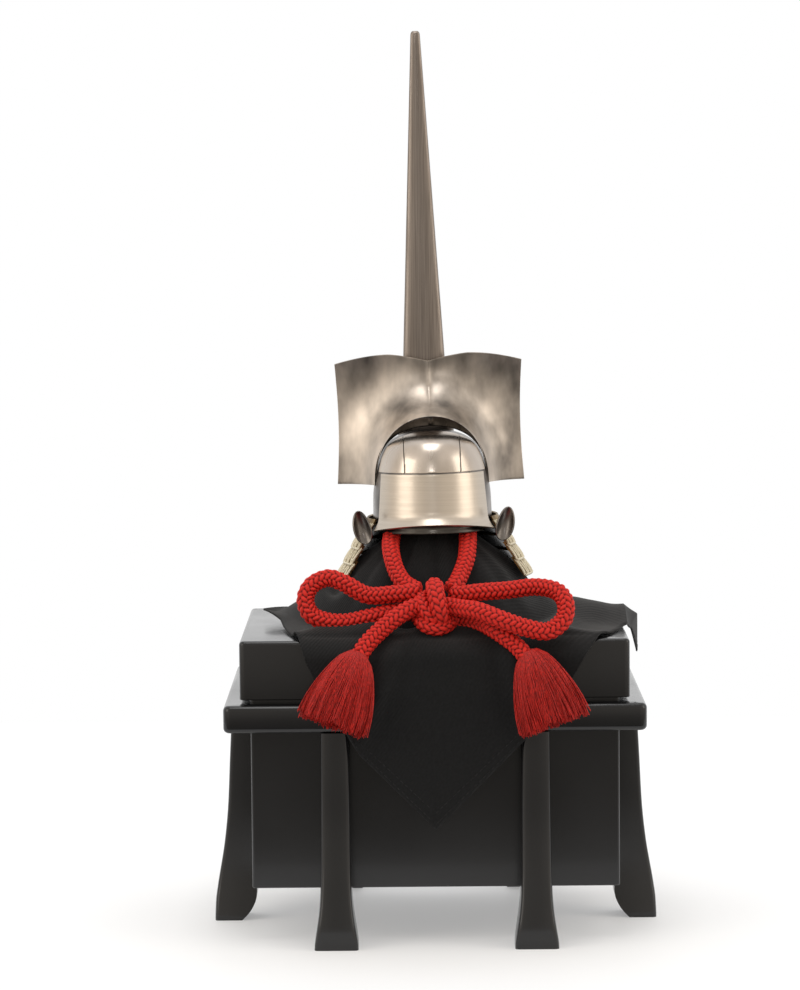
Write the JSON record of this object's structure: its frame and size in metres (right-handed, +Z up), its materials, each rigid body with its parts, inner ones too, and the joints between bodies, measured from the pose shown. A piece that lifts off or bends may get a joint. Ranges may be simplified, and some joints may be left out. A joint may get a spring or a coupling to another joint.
{
  "type": "ornamental kabuto samurai helmet on its display chest",
  "caption": "Small ornamental samurai helmet with a broad crest plate and a tall spike, draped cloth and a tied red cord, standing on a black lacquered chest with legs.",
  "frame": {"origin": "on the floor, under the centre of the chest", "axes": "+Z up, -Y towards the helmet's face, +X to the right as seen from the front"},
  "size_m": [0.2814, 0.2501, 0.5642],
  "materials": {
    "lacquer": "black satin gloss lacquer",
    "post_wood": "plain turned wood",
    "cloth": "black fine twill",
    "silver": "polished warm silver plate",
    "spike_metal": "brushed along its length, grey brown",
    "dark_metal": "smooth dark grey",
    "lame_gold": "dark gold lacquer",
    "cord_red": "braided silk"
  },
  "bodies": {
    "root": {"chest_lid": "lacquer", "chest_ledge": "lacquer", "chest_body": "lacquer", "leg_front_left": "lacquer", "leg_front_right": "lacquer", "leg_back_left": "lacquer", "leg_back_right": "lacquer", "leg_side_left": "lacquer", "leg_side_right": "lacquer", "helmet_post": "post_wood", "display_cloth": "cloth", "bowl_shell": "silver", "top_plate": "silver", "side_plate_left": "silver", "side_plate_right": "silver", "brow_plate": "silver", "visor_lip": "dark_metal", "crest_plate": "silver", "rear_spike": "spike_metal", "spike_socket": "dark_metal", "neck_lame_1": "lame_gold", "neck_lame_2": "lame_gold", "neck_lame_3": "lame_gold", "neck_lame_4": "lame_gold", "side_flap_left": "dark_metal", "side_flap_right": "dark_metal", "flap_rivet_left": "silver", "flap_rivet_right": "silver", "chin_cord": "cord_red", "bow_cord_left": "cord_red", "bow_cord_right": "cord_red", "cord_knot": "cord_red", "tassel_left": "cord_red", "tassel_right": "cord_red"}
  },
  "joints": []
}
